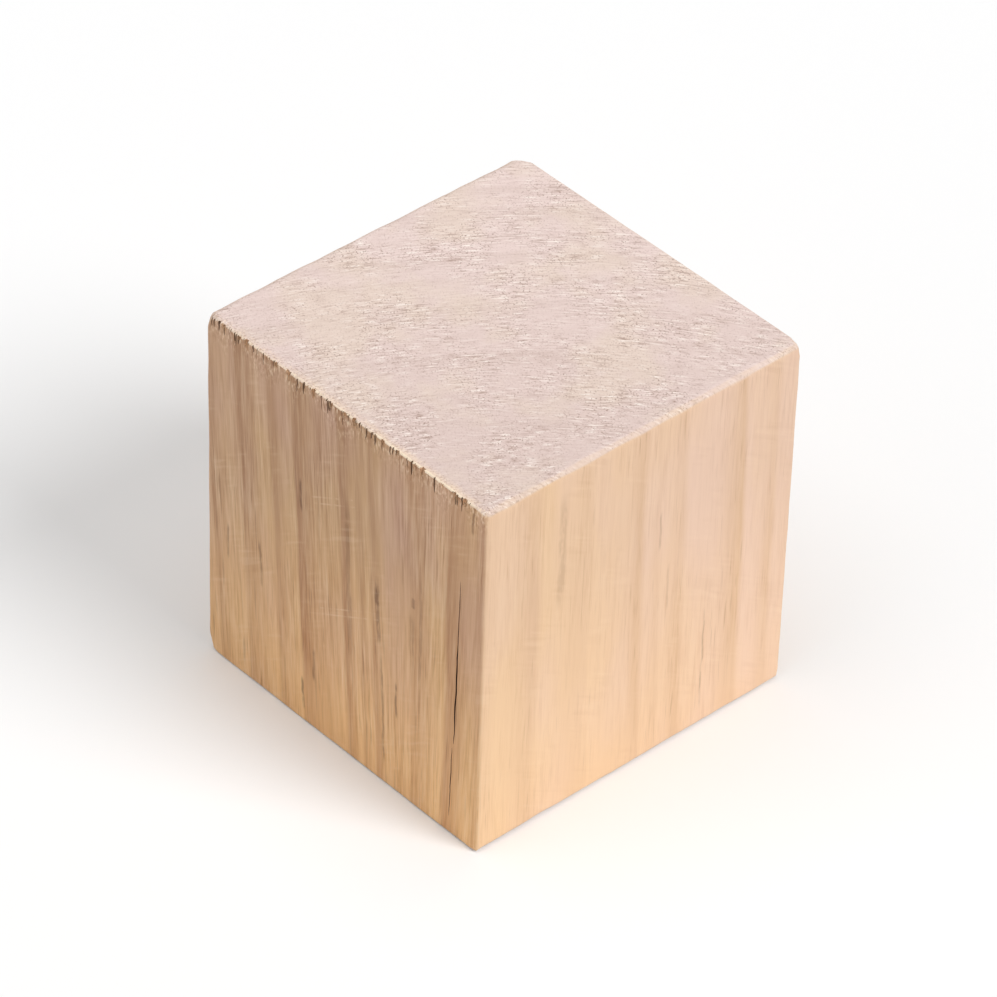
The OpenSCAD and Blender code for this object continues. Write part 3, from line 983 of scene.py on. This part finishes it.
def fibreMaterial(groups):
    material, wiring, shader = fresh("tornFibre")
    place = wiring.add("ShaderNodeTexCoord").outputs
    point = wiring.vector("SCALE", place["Object"], 1 / mm)
    rings = wiring.use(groups["rings"], {"Point": point})
    fine = wiring.use(groups["fibres"], {"Grain": rings["Grain"], "Width": 0.12, "Length": 2.0})
    base = wiring.blend(rings["Late Wood"], fibreLooks["pale"], fibreLooks["late"])
    base = wiring.blend(wiring.times(fine["Dark"], fibreLooks["streaks"]), base, fibreLooks["dark"])
    wiring.feed(shader.inputs["Base Color"], base)
    wiring.feed(shader.inputs["Roughness"], wiring.remap(fine["Tone"], 0.3, 0.7, 0.5, 0.75))
    bump = wiring.add("ShaderNodeBump",
                      {"Strength": 1.0, "Distance": mm, "Height": wiring.times(fine["Tone"], 0.04)})
    wiring.feed(shader.inputs["Normal"], bump.outputs[0])
    shader.inputs["Specular IOR Level"].default_value = fibreLooks["gloss"]
    return material


groups = {"rings": ringGroup(), "fibres": fibreGroup(), "cutEnds": cutEndGroup(), "sanding": sandingGroup(),
          "resinLine": resinLineGroup(), "scratch": scratchGroup(), "arris": arrisGroup()}
pine = pineMaterial(groups)
fibreFinish = fibreMaterial(groups)
print("finishes done")

nicks = {
    "Size": blockSize,
    "Nick Spacing": tearing["spacing"],
    "Nick Radius": tearing["radius"],
    "Nick Depth": tearing["depth"],
    "Nick Height": tearing["height"],
}
block = grow("pineBlock", blockTree, {
    **nicks,
    "Grain Arris": blockShape["grainArris"],
    "Sanded Arris": blockShape["sandedArris"],
    "Sawn Arris": blockShape["sawnArris"],
    "Corner Radius": blockShape["cornerRadius"],
    "Unevenness": blockShape["unevenness"],
    "Foot Wear": blockShape["footWear"],
    "Points Across": blockShape["pointsAcross"],
    "Points Along": blockShape["pointsAlong"],
    "Raised Grain": blockShape["raisedGrain"],
    "Fibre Relief": blockShape["fibreRelief"],
    "Saw Relief": blockShape["sawRelief"],
    "Slits": tearing["slits"],
    "Seed": tearing["seed"],
    "Finish": pine,
})
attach(block, "root")
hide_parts("wooden_cube")
print("block done")

fibres = grow("tornFibres", fibreTree, {
    **nicks,
    "Per Nick": fibreShape["perNick"],
    "Length": fibreShape["length"],
    "Thickness": fibreShape["thickness"],
    "Curl": fibreShape["curl"],
    "Seed": fibreShape["seed"],
    "Finish": fibreFinish,
})
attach(fibres, "root")
print("torn fibres done")

setting = {
    "floorSize": 4.0,
    "floorColour": (0.92, 0.92, 0.92, 1.0),
    "skyLevel": 0.21,
    # Where each lamp shines from, its strength, and its softness in degrees.
    # A lone lamp of strength pi, head on, would light a surface as its colour is written.
    "lamps": {
        "key": ((0.70, 0.20, 0.68), 1.93, 28.0),
        "overhead": ((-0.10, -0.12, 0.98), 1.30, 60.0),
        "fill": ((-0.25, -0.90, 0.30), 0.42, 70.0),
    },
}


def makeFloor():
    mesh = bpy.data.meshes.new("floor")
    reach = setting["floorSize"] / 2
    low = -0.02 * mm      # just clear of the sawn end, so that the two never flicker
    mesh.from_pydata([(-reach, -reach, low), (reach, -reach, low), (reach, reach, low), (-reach, reach, low)],
                     [], [(0, 1, 2, 3)])
    floor = inScene("floor", mesh)
    material, _, shader = fresh("paleFloor")
    shader.inputs["Base Color"].default_value = setting["floorColour"]
    shader.inputs["Roughness"].default_value = 0.9
    shader.inputs["Specular IOR Level"].default_value = 0.0
    mesh.materials.append(material)


def makeLamp(name, fromWhere, level, softness):
    lamp = bpy.data.lights.new(name, "SUN")
    lamp.energy = level
    lamp.angle = turn(softness)
    inScene(name, lamp).rotation_euler = Vector(fromWhere).to_track_quat("Z", "Y").to_euler()


def makeWorld():
    world = bpy.data.worlds.new("studio")
    bpy.context.scene.world = world
    world.use_nodes = True
    wiring = Wiring(world.node_tree)
    white = (1.0, 1.0, 1.0, 1.0)
    sky = world.node_tree.nodes["Background"]
    sky.inputs["Color"].default_value = white
    sky.inputs["Strength"].default_value = setting["skyLevel"]
    backdrop = wiring.first("ShaderNodeBackground", {"Color": white, "Strength": 1.0})
    path = wiring.add("ShaderNodeLightPath").outputs
    seen = wiring.greatest(path["Is Camera Ray"], path["Is Glossy Ray"], path["Is Transmission Ray"])
    mix = wiring.first("ShaderNodeMixShader", {0: seen, 1: sky.outputs[0], 2: backdrop})
    wiring.feed(world.node_tree.nodes["World Output"].inputs["Surface"], mix)


cameraView = {
    "azimuth": 47.02,          # degrees round from the front face towards the right face
    "elevation": 39.05,        # degrees up from level
    "distance": 0.719,         # metres from the block's middle
    "roll": 1.85,              # degrees
    "focus": 6067.5,           # focal length, in pixels of the picture
    "picture": 997,            # width of the picture in pixels
    "sensor": 36.0,            # width of the sensor in millimetres
}


def makeCamera():
    camera = bpy.data.cameras.new("camera")
    camera.sensor_width = cameraView["sensor"]
    camera.sensor_fit = "HORIZONTAL"
    camera.lens = cameraView["sensor"] * cameraView["focus"] / cameraView["picture"]
    camera.clip_start = 0.01
    camera.clip_end = 20.0
    holder = inScene("camera", camera)
    around, up = turn(cameraView["azimuth"]), turn(cameraView["elevation"])
    back = Vector((math.sin(around) * math.cos(up), -math.cos(around) * math.cos(up), math.sin(up)))
    holder.location = middle * mm + back * cameraView["distance"]
    aim = (-back).to_track_quat("-Z", "Y").to_matrix()
    roll = Matrix.Rotation(turn(cameraView["roll"]), 3, "Z")
    holder.rotation_euler = (aim @ roll).to_euler()
    bpy.context.scene.camera = holder


makeFloor()
for name, (fromWhere, level, softness) in setting["lamps"].items():
    makeLamp(name, fromWhere, level, softness)
makeWorld()
makeCamera()
bpy.context.scene.view_settings.view_transform = "Standard"
print("stage done")
